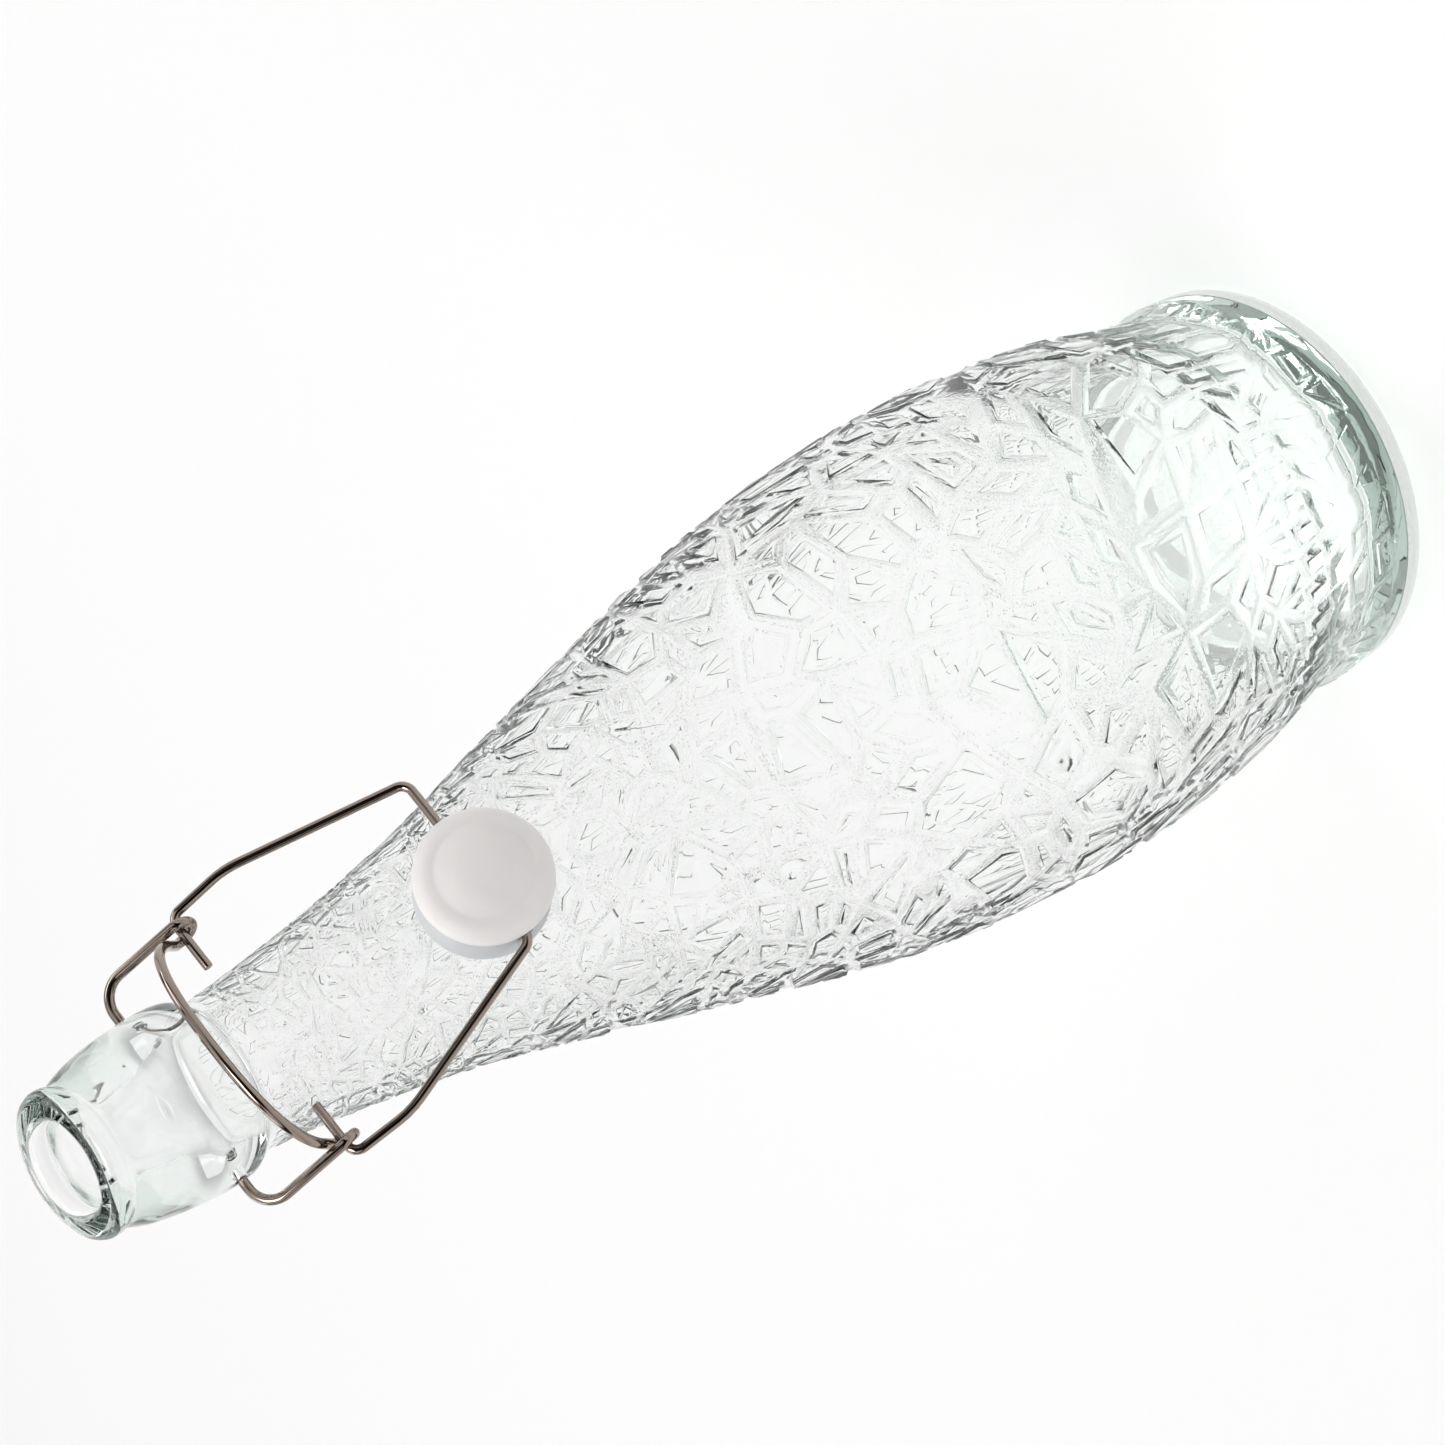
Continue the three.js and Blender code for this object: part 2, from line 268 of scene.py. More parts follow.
def add_node(tree, kind, settings=None, links=None, stops=()):
    """Adds a node, sets its inputs by name or number, links inputs to other nodes' outputs, and sets a
    colour ramp's (position, colour) stops."""
    node = tree.nodes.new(kind)
    for key, value in (settings or {}).items():
        if isinstance(key, int) or key in node.inputs:
            node.inputs[key].default_value = value
        else:
            setattr(node, key, value)
    for key, source in (links or {}).items():
        tree.links.new(source, node.inputs[key])
    for _ in stops[2:]:
        node.color_ramp.elements.new(0.5)
    if stops:
        for element, (place, tone) in zip(node.color_ramp.elements, stops):
            element.position = place
            element.color = (*tone, 1)
    return node


def mottle(tree, shader, size, detail, tone, dark_share, roughness):
    """Varies a finish's colour down to a share of its tone, and its roughness, with one noise."""
    place = add_node(tree, "ShaderNodeTexCoord").outputs["Object"]
    noise_settings = {"Scale": 1 / size, "Detail": detail}
    grain = add_node(tree, "ShaderNodeTexNoise", noise_settings, {"Vector": place}).outputs["Fac"]
    dark = [c * dark_share for c in tone]
    shade = add_node(tree, "ShaderNodeValToRGB", links={"Fac": grain}, stops=((0.0, dark), (1.0, tone)))
    low, high = roughness
    rough = add_node(tree, "ShaderNodeMapRange", {"To Min": low, "To Max": high}, {"Value": grain})
    tree.links.new(shade.outputs["Color"], shader.inputs["Base Color"])
    tree.links.new(rough.outputs["Result"], shader.inputs["Roughness"])


def scatter(shader, weight, colour_reach, scale):
    """Lets light travel under the surface."""
    shader.inputs["Subsurface Weight"].default_value = weight
    shader.inputs["Subsurface Radius"].default_value = colour_reach
    shader.inputs["Subsurface Scale"].default_value = scale


GLASS_IOR = 1.5
RIPPLE_SIZE = 9 * MM
RIPPLE_DEPTH = 0.12 * MM
RIPPLE_STRENGTH = 0.25
GRIT_SIZE = 0.8 * MM
GRIT_DEPTH = 0.1 * MM
GRIT_STRENGTH = 0.5
CHANNEL_ROUGHNESS = 0.06
TINT_DENSITY = 12.0


def soda_lime_glass(settings):
    """Clear soda-lime glass: colourless when thin and faintly green where the eye looks through its depth.

    Its faces ripple a little, as moulded glass does, and the channels between plates are stippled."""
    material, tree, shader, output = new_material("clear soda-lime glass")
    shader.inputs["Base Color"].default_value = (1, 1, 1, 1)
    shader.inputs["IOR"].default_value = GLASS_IOR
    shader.inputs["Transmission Weight"].default_value = 1.0
    place = add_node(tree, "ShaderNodeTexCoord").outputs["Object"]
    channel = add_node(tree, "ShaderNodeAttribute", {"attribute_name": "stipple"}).outputs["Fac"]
    ripple = add_node(
        tree, "ShaderNodeTexNoise", {"Scale": 1 / RIPPLE_SIZE, "Detail": 2.0}, {"Vector": place}
    )
    swell = add_node(
        tree, "ShaderNodeBump", {"Strength": RIPPLE_STRENGTH, "Distance": RIPPLE_DEPTH},
        {"Height": ripple.outputs["Fac"]}
    )
    grit = add_node(tree, "ShaderNodeTexNoise", {"Scale": 1 / GRIT_SIZE, "Detail": 1.0}, {"Vector": place})
    amount = add_node(
        tree, "ShaderNodeMapRange", {"To Min": 0.0, "To Max": GRIT_STRENGTH}, {"Value": channel}
    )
    bump = add_node(
        tree, "ShaderNodeBump", {"Distance": GRIT_DEPTH}, {
            "Height": grit.outputs["Fac"], "Strength": amount.outputs["Result"],
            "Normal": swell.outputs["Normal"],
        }
    )
    tree.links.new(bump.outputs["Normal"], shader.inputs["Normal"])
    rough = add_node(
        tree, "ShaderNodeMapRange", {"To Min": 0.0, "To Max": CHANNEL_ROUGHNESS}, {"Value": channel}
    )
    tree.links.new(rough.outputs["Result"], shader.inputs["Roughness"])
    light = add_node(tree, "ShaderNodeLightPath")
    clear = add_node(tree, "ShaderNodeBsdfTransparent", {"Color": (1, 1, 1, 1)})
    mix = add_node(tree, "ShaderNodeMixShader", links={
        "Fac": light.outputs["Is Shadow Ray"], 1: shader.outputs["BSDF"], 2: clear.outputs["BSDF"],
    })
    tree.links.new(mix.outputs["Shader"], output.inputs["Surface"])
    depth = add_node(
        tree, "ShaderNodeVolumeAbsorption", {"Color": (*settings.tint, 1), "Density": TINT_DENSITY}
    )
    tree.links.new(depth.outputs["Volume"], output.inputs["Volume"])
    return material


def drawn_steel(settings):
    """Stainless wire drawn through a die: bright and mirror-like, with a faint mottle from handling."""
    material, tree, shader, _ = new_material("drawn stainless steel")
    shader.inputs["Metallic"].default_value = 1.0
    mottle(tree, shader, 1.4 * MM, 3.0, settings.steel, dark_share=0.82, roughness=(0.06, 0.14))
    return material


def moulded_plastic(settings):
    """Injection-moulded white polypropylene: satin and slightly waxy, with a very faint mottle."""
    material, tree, shader, _ = new_material("moulded polypropylene")
    shader.inputs["IOR"].default_value = 1.49
    scatter(shader, 0.25, (1.0, 0.9, 0.8), 2 * MM)
    mottle(tree, shader, 4 * MM, 3.0, settings.cap_colour, dark_share=0.96, roughness=(0.42, 0.55))
    return material


def cast_silicone(settings):
    """Moulded silicone rubber: cloudy and soft-edged, with a matt skin that lets some light through."""
    material, tree, shader, _ = new_material("moulded silicone")
    shader.inputs["IOR"].default_value = 1.41
    scatter(shader, 0.6, (1.0, 1.0, 1.05), 4 * MM)
    mottle(tree, shader, 6 * MM, 2.0, settings.seal_colour, dark_share=0.93, roughness=(0.4, 0.52))
    return material


# ---- Glass bottle -----------------------------------------------------------------------------------

class Wrap:
    """Carries the flat crackle layout onto the bottle's outline.

    Turn is the angle round the axis, and rise is the distance up the outline over the radius,
    so a plate keeps its shape and its size follows the bottle's girth."""

    def __init__(self, outline, low, high):
        self.stations = []
        rise = 0.0
        fine = [p for p in curve_through(outline, 24) if low <= p.y * MM <= high]
        for before, after in zip(fine, fine[1:]):
            self.stations.append((rise, before, after))
            rise += (after - before).length / (0.5 * (before.x + after.x))
        self.top = rise
        self.keys = [station[0] for station in self.stations]
        self.low = fine[0]
        self.high = fine[-1]

    def rise_at(self, height):
        """How far up the outline a height in millimetres is."""
        return next(rise for rise, _, after in self.stations if after.y >= height)

    def place(self, turn, rise, lift=0.0):
        """The point on the outline, lifted off it by a height in millimetres."""
        i = max(0, bisect.bisect_right(self.keys, rise) - 1)
        start, before, after = self.stations[i]
        step = (self.keys[i + 1] if i + 1 < len(self.keys) else self.top) - start
        part = min(1.0, max(0.0, (rise - start) / step))
        spot = before.lerp(after, part)
        along = (after - before).normalized()
        radius = spot.x + along.y * lift
        height = spot.y - along.x * lift
        return Vector((radius * math.cos(turn), radius * math.sin(turn), height)) * MM, spot.x


# The rings at the waist: heights and groove depth in millimetres, and jitter over the radius.
RING_HEIGHTS = (31, 40.5)
RING_CORNERS = 44
RING_JITTER = 0.02
RING_GROOVE = 0.8
CORNER_SPACING = 0.6
END_SPACING = 0.7
TRIES_PER_CORNER = 40


def crackle_points(settings, wrap, rng):
    """Random corner points, none too close to another, with even rows at the relief's ends.

    Two more rows at the waist make the plates line up into rings there. Also returns their point numbers."""
    top = wrap.top
    points = []
    for rise in (0.0, top):
        points += [(FULL_TURN * i / settings.columns, rise) for i in range(settings.columns)]
    rows = []
    for height in RING_HEIGHTS:
        level = wrap.rise_at(height)
        rows.append(range(len(points), len(points) + RING_CORNERS))
        points += [
            (FULL_TURN * (i + 0.5) / RING_CORNERS, level + rng.uniform(-RING_JITTER, RING_JITTER))
            for i in range(RING_CORNERS)
        ]
    nearest = CORNER_SPACING * math.sqrt(FULL_TURN * top / settings.corners)
    margin = nearest * END_SPACING
    grid = {}
    for point in points:
        grid.setdefault(grid_square(point, nearest), []).append(point)
    tries = 0
    while len(points) < settings.corners and tries < TRIES_PER_CORNER * settings.corners:
        tries += 1
        point = (rng.uniform(0, FULL_TURN), rng.uniform(margin, top - margin))
        if not is_crowded(point, grid, nearest):
            points.append(point)
            grid.setdefault(grid_square(point, nearest), []).append(point)
    return points, rows


def grid_square(point, size):
    return int(point[0] / size), int(point[1] / size)


def is_crowded(point, grid, nearest):
    """True if a point on the grid is nearer than allowed, also across the line where turns start again."""
    column, row = grid_square(point, nearest)
    columns = int(FULL_TURN / nearest)
    for i in (-1, 0, 1):
        for wrap in (0, columns, -columns, columns + 1, -columns - 1):
            for j in (-1, 0, 1):
                for turn, rise in grid.get((column + i + wrap, row + j), ()):
                    gap = abs(turn - point[0])
                    gap = min(gap, FULL_TURN - gap)
                    if math.hypot(gap, rise - point[1]) < nearest:
                        return True
    return False


OVERLAP = 1.2


def crackle_cells(points):
    """Triangles between the points, right round the bottle, as lists of point numbers."""
    flat = []
    owner = []
    for number, (turn, rise) in enumerate(points):
        for shift in (0, FULL_TURN, -FULL_TURN):
            if -OVERLAP < turn + shift < FULL_TURN + OVERLAP:
                flat.append(Vector((turn + shift, rise)))
                owner.append(number)
    verts, _, faces, originals, _, _ = geometry.delaunay_2d_cdt(flat, [], [], 0, 1e-7)
    cells = []
    for face in faces:
        middle = sum(verts[i].x for i in face) / 3
        if 0 <= middle < FULL_TURN:
            cells.append([owner[originals[i][0]] for i in face])
    return cells


def turn_between(start, end):
    """Angle round the axis from one corner to another, at most half a turn either way."""
    turn = math.atan2(end.co.y, end.co.x) - math.atan2(start.co.y, start.co.x)
    return (turn + math.pi) % FULL_TURN - math.pi


def unwrapped(face):
    """Turn and rise of a cell's corners, with no jump where the turn starts again."""
    return [Vector((turn_between(face.verts[0], vert), vert.co.z)) for vert in face.verts]


MERGE_ROUNDS = ((4, 0.75), (5, 0.5), (6, 0.2))
MERGE_SHUFFLE = 0.02
FLATTEST_CORNER = math.radians(172)


def joined_is_convex(edge, most_corners):
    """True if the two cells beside an edge make one convex cell with few corners."""
    one, two = edge.link_faces
    if len(one.verts) + len(two.verts) - 2 > most_corners:
        return False
    for end in edge.verts:
        beside = set()
        for face in (one, two):
            corner = next(loop for loop in face.loops if loop.vert == end)
            beside.update((corner.link_loop_prev.vert, corner.link_loop_next.vert))
        beside -= set(edge.verts)
        if len(beside) != 2:
            return False
        left, right, along = (
            Vector((turn_between(end, vert), vert.co.z - end.co.z))
            for vert in (*beside, edge.other_vert(end))
        )
        if abs(left.angle_signed(along)) + abs(right.angle_signed(along)) > FLATTEST_CORNER:
            return False
    return True


def signed_area(corners):
    return sum(0.5 * (a.x * b.y - b.x * a.y) for a, b in zip(corners, corners[1:] + corners[:1]))


def cell_width(face):
    """Twice the area over the girth, which is near the radius of the circle that fits inside."""
    corners = unwrapped(face)
    girth = sum((b - a).length for a, b in zip(corners, corners[1:] + corners[:1]))
    return 2 * abs(signed_area(corners)) / girth


def sharpest_corner(face):
    """The smallest angle between two neighbouring sides of a cell."""
    corners = unwrapped(face)
    return min(
        (before - at).angle(after - at)
        for before, at, after in zip(corners[-1:] + corners[:-1], corners, corners[1:] + corners[:1])
    )


def lay_folds_down(bm, raised):
    """Puts the corners of faces that turned over back in the channel, so that they stay low."""
    areas = [(face, signed_area(unwrapped(face))) for face in bm.faces]
    way = math.copysign(1, sum(area for _, area in areas))
    for face, area in areas:
        if area * way <= 0:
            for vert in face.verts:
                vert[raised] = 0.0


def lies_on_ring(edge, row_of):
    """True if an edge joins two corners of the same ring at the waist."""
    one, two = (vert[row_of] for vert in edge.verts)
    return one > 0 and one == two


def merge_cells(bm, rng):
    """Joins neighbouring triangles into plates of three to six corners, the narrowest first."""
    row_of = bm.verts.layers.int["row"]
    for most_corners, share in MERGE_ROUNDS:
        edges = [e for e in bm.edges if len(e.link_faces) == 2 and not lies_on_ring(e, row_of)]
        rng.shuffle(edges)
        edges.sort(key=lambda e: min(cell_width(f) for f in e.link_faces) + rng.uniform(0, MERGE_SHUFFLE))
        used = set()
        chosen = []
        for edge in edges:
            faces = edge.link_faces
            if used.intersection(faces) or rng.random() > share:
                continue
            if joined_is_convex(edge, most_corners):
                chosen.append(edge)
                used.update(faces)
        bmesh.ops.dissolve_edges(bm, edges=chosen, use_verts=False)


LATHE_SPLIT = 6
SHARPEST_CORNER = math.radians(30)

# Channel widths as shares of the setting, and plate heights as shares of the relief's height.
CHANNEL_WIDTHS = (1.35, 1.0, 0.65)
SPARE_WIDTH = 1.2
PLATE_HEIGHTS = (0.8, 1.15)
PLATE_BEVEL = 0.14 * MM
FRAMED_WIDTH = 2.6
FRAMED_SHARE = 0.35
FRAME_SLOPE = 0.5
FRAME_DEPTH = 0.32


def relief_height(radius):
    """Height of a plate above its channel, in millimetres, for a radius of the bottle."""
    return 0.24 + 0.007 * radius


def glass_relief(settings):
    """The outer wall between foot and collar: raised plates with sloped edges, divided by channels."""
    rng = random.Random(settings.seed)
    wrap = Wrap(BODY_OUTLINE, settings.relief_from, settings.relief_to)
    bm = crackle_layout(settings, wrap, rng)
    inset_plates(bm, settings, rng)
    rims = [e for e in bm.edges if e.is_boundary]
    bmesh.ops.subdivide_edges(bm, edges=rims, cuts=LATHE_SPLIT - 1)
    wrap_relief(bm, wrap, FULL_TURN / (settings.columns * LATHE_SPLIT))
    raised = bm.verts.layers.float["raised"]
    tops = [face for face in bm.faces if all(v[raised] > 0 for v in face.verts)]
    for face in tops:
        if len({v[raised] for v in face.verts}) == 1:
            flatten(face)
    raised_faces = set(tops)
    plate_edges = [e for e in bm.edges if len(raised_faces.intersection(e.link_faces)) == 1]
    bmesh.ops.bevel(
        bm, geom=plate_edges, offset=PLATE_BEVEL, offset_type="OFFSET", affect="EDGES",
        segments=2, profile=0.5, material=-1, clamp_overlap=True
    )
    return bm, wrap


def crackle_layout(settings, wrap, rng):
    """The flat cells on a cylinder of radius 1, with the ring corners marked for their groove."""
    points, rows = crackle_points(settings, wrap, rng)
    bm = bmesh.new()
    row_of = bm.verts.layers.int.new("row")
    verts = [bm.verts.new((math.cos(turn), math.sin(turn), rise)) for turn, rise in points]
    for number, row in enumerate(rows, 1):
        for i in row:
            verts[i][row_of] = number
    for cell in crackle_cells(points):
        bm.faces.new([verts[i] for i in cell])
    merge_cells(bm, rng)
    groove = bm.verts.layers.float.new("groove")
    for vert in bm.verts:
        vert[groove] = 1.0 if vert[row_of] else 0.0
    return bm


def wrap_relief(bm, wrap, column):
    """Carries the layout onto the bottle, lifts the plates, and marks the channels as stippled."""
    stipple = bm.verts.layers.float.new("stipple")
    raised = bm.verts.layers.float["raised"]
    groove = bm.verts.layers.float["groove"]
    for vert in bm.verts:
        turn = math.atan2(vert.co.y, vert.co.x)
        _, radius = wrap.place(turn, vert.co.z)
        lift = relief_height(radius) * (vert[raised] - 0.5) - RING_GROOVE * vert[groove]
        if vert.is_boundary:
            lift = 0.0
            turn = round(turn / column) * column
        vert[stipple] = 0.0 if vert[raised] > 0 else 1.0
        vert.co, _ = wrap.place(turn, vert.co.z, lift)


def fits_plate(cell, least):
    """True if a cell is wide enough, and blunt enough at its corners, to hold a plate."""
    return cell_width(cell) > least and sharpest_corner(cell) > SHARPEST_CORNER


def inset_plates(bm, settings, rng):
    """Cuts each cell into channel, sloped edge and plate, and stores how high each corner is raised."""
    raised = bm.verts.layers.float.new("raised")
    groove = bm.verts.layers.float["groove"]
    for width in CHANNEL_WIDTHS:
        channel = settings.channel * width
        least = SPARE_WIDTH * (channel + settings.slope)
        chance = 0.5 + width / 4
        cells = [f for f in bm.faces if not f.tag and fits_plate(f, least) and rng.random() < chance]
        made = inset(bm, cells, channel)
        raise_corners(cells, [0.0] * len(cells), groove)
        made += inset(bm, cells, settings.slope)
        heights = [rng.uniform(*PLATE_HEIGHTS) for _ in cells]
        raise_corners(cells, heights, raised)
        made += frame_plates(bm, settings, rng, cells, heights, raised)
        for face in made + cells:
            face.tag = True
    lay_folds_down(bm, raised)


def frame_plates(bm, settings, rng, cells, heights, raised):
    """Sinks the middle of some large plates, which leaves a raised frame round them."""
    framed = [
        (face, height) for face, height in zip(cells, heights)
        if cell_width(face) > FRAMED_WIDTH * settings.slope and rng.random() < FRAMED_SHARE
    ]
    faces = [face for face, _ in framed]
    made = inset(bm, faces, settings.slope)
    raise_corners(faces, [height for _, height in framed], raised)
    made += inset(bm, faces, settings.slope * FRAME_SLOPE)
    raise_corners(faces, [height - FRAME_DEPTH for _, height in framed], raised)
    return made


def raise_corners(faces, heights, layer):
    for face, height in zip(faces, heights):
        for vert in face.verts:
            vert[layer] = height


def inset(bm, faces, thickness):
    made = bmesh.ops.inset_individual(bm, faces=faces, thickness=thickness, depth=0, use_even_offset=True)
    return made["faces"]


def flatten(face):
    """Moves a plate's corners into their mean plane."""
    middle = face.calc_center_median()
    face.normal_update()
    normal = face.normal.copy()
    for vert in face.verts:
        vert.co -= normal * normal.dot(vert.co - middle)


WAVE_SIZE = 17 * MM
WAVE_DEPTH = 0.22 * MM
WAVE_TO_HEIGHT = 268 * MM
WAVE_FROM_RADIUS = 6 * MM


def bottle_bmesh(settings):
    """The whole bottle: relief wall, base, collar, mouth and the inside, joined into one closed mesh."""
    bm, wrap = glass_relief(settings)
    wall = settings.wall / MM
    segments = settings.columns * LATHE_SPLIT
    low, high = tuple(wrap.low), tuple(wrap.high)
    heel = arc(HEEL_CENTRE, HEEL_RADIUS, -84, 0, 5)
    foot_side = [tuple(p) for p in curve_through(FOOT_SIDE_OUTLINE, 2)]
    base = spun([*PUNT_OUTLINE, STANDING_RING_TO, *heel, *foot_side, low], segments)
    collar = [tuple(p) for p in curve_through(COLLAR_OUTLINE, 4)]
    mouth = [*LIP_OUTLINE, *MOUTH_OUTLINE, *THROAT_OUTLINE]
    inner_wall = [
        (p.x - wall, p.y) for p in curve_through(BODY_OUTLINE, 2) if INNER_WALL_FROM < p.y < INNER_WALL_TO
    ]
    inner_heel = arc(INNER_HEEL_CENTRE, INNER_HEEL_RADIUS, 0, -90, 6)
    inside = [*inner_wall[::-1], *inner_heel, *FLOOR_OUTLINE]
    top = spun([high, *UNDER_COLLAR_OUTLINE, *collar, *mouth, *inside], segments)
    wave_inside(top)
    for part in (base, top):
        scratch = bpy.data.meshes.new("part")
        part.to_mesh(scratch)
        part.free()
        bm.from_mesh(scratch)
        bpy.data.meshes.remove(scratch)
    bmesh.ops.remove_doubles(bm, verts=bm.verts, dist=SEAM_MERGE)
    bmesh.ops.recalc_face_normals(bm, faces=bm.faces)
    return bm


def wave_inside(bm):
    """Waves the inner wall slightly, as blown glass does."""
    for vert in bm.verts:
        radius = math.hypot(vert.co.x, vert.co.y)
        if vert.co.z < WAVE_TO_HEIGHT and radius > WAVE_FROM_RADIUS:
            wave = noise.noise(Vector((vert.co.x, vert.co.y, vert.co.z * 0.7)) / WAVE_SIZE)
            swell = 1 + WAVE_DEPTH * wave / radius
            vert.co.x *= swell
            vert.co.y *= swell


PIVOT_HOLE_RADIUS = 1.35 * MM
PIVOT_HOLE_FROM = 13.4 * MM
PIVOT_HOLE_TO = 20 * MM


class GROWLER_OT_bottle(bpy.types.Operator):
    """Moulded glass bottle with crackle relief"""
    bl_idname = "growler.bottle"
    bl_label = "Glass bottle"

    def execute(self, context):
        settings = context.scene.growler_glass
        bm = bottle_bmesh(settings)
        glass = soda_lime_glass(settings)
        piece = make_object("bottle_glass", bm, "bottle", "glass_bottle", glass)
        for side in (-1, 1):
            depth, outside = (Vector((side * x, 0, PIVOT.z)) for x in (PIVOT_HOLE_FROM, PIVOT_HOLE_TO))
            drill(piece, PIVOT_HOLE_RADIUS, depth, outside)
        require_closed(piece)
        weigh_normals(piece)
        return {"FINISHED"}


# ---- Wires ------------------------------------------------------------------------------------------

def rounded_route(corners, step=math.radians(6)):
    """Straight runs between corner points, each corner rounded by its own bend radius."""
    route = [corners[0][0]]
    for (before, _), (at, bend), (after, _) in zip(corners, corners[1:], corners[2:]):
        back, ahead = (before - at).normalized(), (after - at).normalized()
        half = back.angle(ahead) / 2
        start = at + back * (bend / math.tan(half))
        centre = at + (back + ahead).normalized() * (bend / math.sin(half))
        turn = math.pi - 2 * half
        axis = ahead.cross(back).normalized()
        steps = max(3, math.ceil(turn / step))
        for k in range(steps + 1):
            route.append(centre + Quaternion(axis, turn * k / steps) @ (start - centre))
    route.append(corners[-1][0])
    return route


WIRE_SIDES = 20
STRAIGHT = 1e-6
WHOLE_RING = ((0.0, 1.0),)
SHEARED_END = ((0.0, 0.86), (0.1, 0.97), (0.25, 1.0))


def wire_bmesh(route, radius):
    """A round wire along the route, with its sheared ends slightly rounded."""
    bm = bmesh.new()
    tangent = (route[1] - route[0]).normalized()
    normal = tangent.orthogonal().normalized()
    last = len(route) - 1
    rings = []
    for i, point in enumerate(route):
        ahead = (route[min(i + 1, last)] - route[max(i - 1, 0)]).normalized()
        bend = tangent.angle(ahead, 0)
        if bend > STRAIGHT:
            normal = Quaternion(tangent.cross(ahead), bend) @ normal
        normal = (normal - ahead * normal.dot(ahead)).normalized()
        tangent = ahead
        side = tangent.cross(normal)
        profile = WHOLE_RING
        if i == 0:
            profile = SHEARED_END
        if i == last:
            profile = [(-shift, scale) for shift, scale in SHEARED_END[::-1]]
        for shift, scale in profile:
            made = bmesh.ops.create_circle(bm, cap_ends=False, radius=radius * scale, segments=WIRE_SIDES)
            turn = Matrix((normal, side, tangent)).transposed().to_4x4()
            turn.translation = point + tangent * shift * radius
            bmesh.ops.transform(bm, matrix=turn, verts=made["verts"])
            rings.append(made["verts"])
    for one, two in zip(rings, rings[1:]):
        for k in range(WIRE_SIDES):
            after = (k + 1) % WIRE_SIDES
            bm.faces.new((one[k], one[after], two[after], two[k]))
    bm.faces.new(rings[0][::-1])
    bm.faces.new(rings[-1])
    bmesh.ops.recalc_face_normals(bm, faces=bm.faces)
    return bm


def front_place(x, front, height):
    """A point given by how far it is in front of the bottle's axis, all in millimetres."""
    return Vector((x, -front, height)) * MM


LEVER_END_X = 13.9
EYE_OUTER_X = 24.5
EYE_INNER_X = 22.3
LEVER_BEND = 5.0
BOW_HEADING = math.radians(47)
BOW_POWER = 2.5
BOW_STEPS = 90
BOW_STEPS_SKIPPED = 4
COIL_STEPS = 34


def lever_route(settings):
    """Pivot end, arm and coiled eye on one side, the thumb bow, then the other side."""
    eye_front, eye_z = -EYE.y / MM, EYE.z / MM
    pivot_z = PIVOT.z / MM
    coil_radius = settings.coil_radius / MM
    drop = pivot_z - eye_z
    reach = math.hypot(eye_front, drop)
    arm_heading = math.atan2(-drop, eye_front) + math.asin(coil_radius / reach)
    coil_start = arm_heading + math.pi / 2
    coil_turn = arm_heading + FULL_TURN - BOW_HEADING

    def on_coil(turn, x):
        angle = coil_start - turn
        front = eye_front + coil_radius * math.cos(angle)
        return front_place(x, front, eye_z + coil_radius * math.sin(angle))

    side = rounded_route([
        (front_place(LEVER_END_X, 0, pivot_z), 0),
        (front_place(EYE_OUTER_X, 0, pivot_z), LEVER_BEND * MM),
        (on_coil(0, EYE_OUTER_X), 0),
    ])
    for i in range(1, COIL_STEPS + 1):
        t = i / COIL_STEPS
        side.append(on_coil(coil_turn * t, EYE_OUTER_X + (EYE_INNER_X - EYE_OUTER_X) * t))
    leg = side[-1]
    bow = []
    depth = settings.bow_depth / MM
    for i in range(BOW_STEPS_SKIPPED, BOW_STEPS - BOW_STEPS_SKIPPED + 1):
        t = math.pi * i / BOW_STEPS
        out = depth * math.sin(t) ** (2 / BOW_POWER)
        x = EYE_INNER_X * math.copysign(abs(math.cos(t)) ** (2 / BOW_POWER), math.cos(t))
        bow.append(front_place(
            x, -leg.y / MM + out * math.cos(BOW_HEADING), leg.z / MM + out * math.sin(BOW_HEADING)
        ))
    mirrored = [Vector((-p.x, p.y, p.z)) for p in reversed(side)]
    return side + bow + mirrored


class GROWLER_OT_lever(bpy.types.Operator):
    """Lever wire with its coiled eyes and thumb bow"""
    bl_idname = "growler.lever"
    bl_label = "Lever wire"

    def execute(self, context):
        settings = context.scene.growler_wire
        bm = wire_bmesh(lever_route(settings), settings.lever_radius)
        make_object("lever_steel", bm, "lever", "lever_wire", drawn_steel(settings))
        return {"FINISHED"}


BAIL_STUB_X = 15.4
BAIL_EYE_X = 26.6
BAIL_SHOULDER_X = 27.2
BAIL_SHOULDER_ALONG = 12.3
BAIL_SHOULDER_BEND = 18
BAIL_EYE_BEND = 2.2
BAIL_CORNER_BEND = 2.4
BAIL_CORNER_X = 17.9
BAIL_LEAN = 1.8


def bail_route(settings):
    """Stub, arm, crossbar, arm and stub, in the plane through the eyes and the crossbar."""
    reach = settings.bail_length / MM
    along = (CROSSBAR - EYE).normalized()

    def in_bail(x, distance):
        return EYE + along * distance * MM + Vector((x + BAIL_LEAN * distance / reach, 0, 0)) * MM

    def half(side):
        return [
            (in_bail(side * BAIL_STUB_X, 0), 0),
            (in_bail(side * BAIL_EYE_X, 0), BAIL_EYE_BEND * MM),
            (in_bail(side * BAIL_SHOULDER_X, BAIL_SHOULDER_ALONG), BAIL_SHOULDER_BEND * MM),
            (in_bail(side * BAIL_CORNER_X, reach), BAIL_CORNER_BEND * MM),
        ]

    return rounded_route(half(1) + half(-1)[::-1])


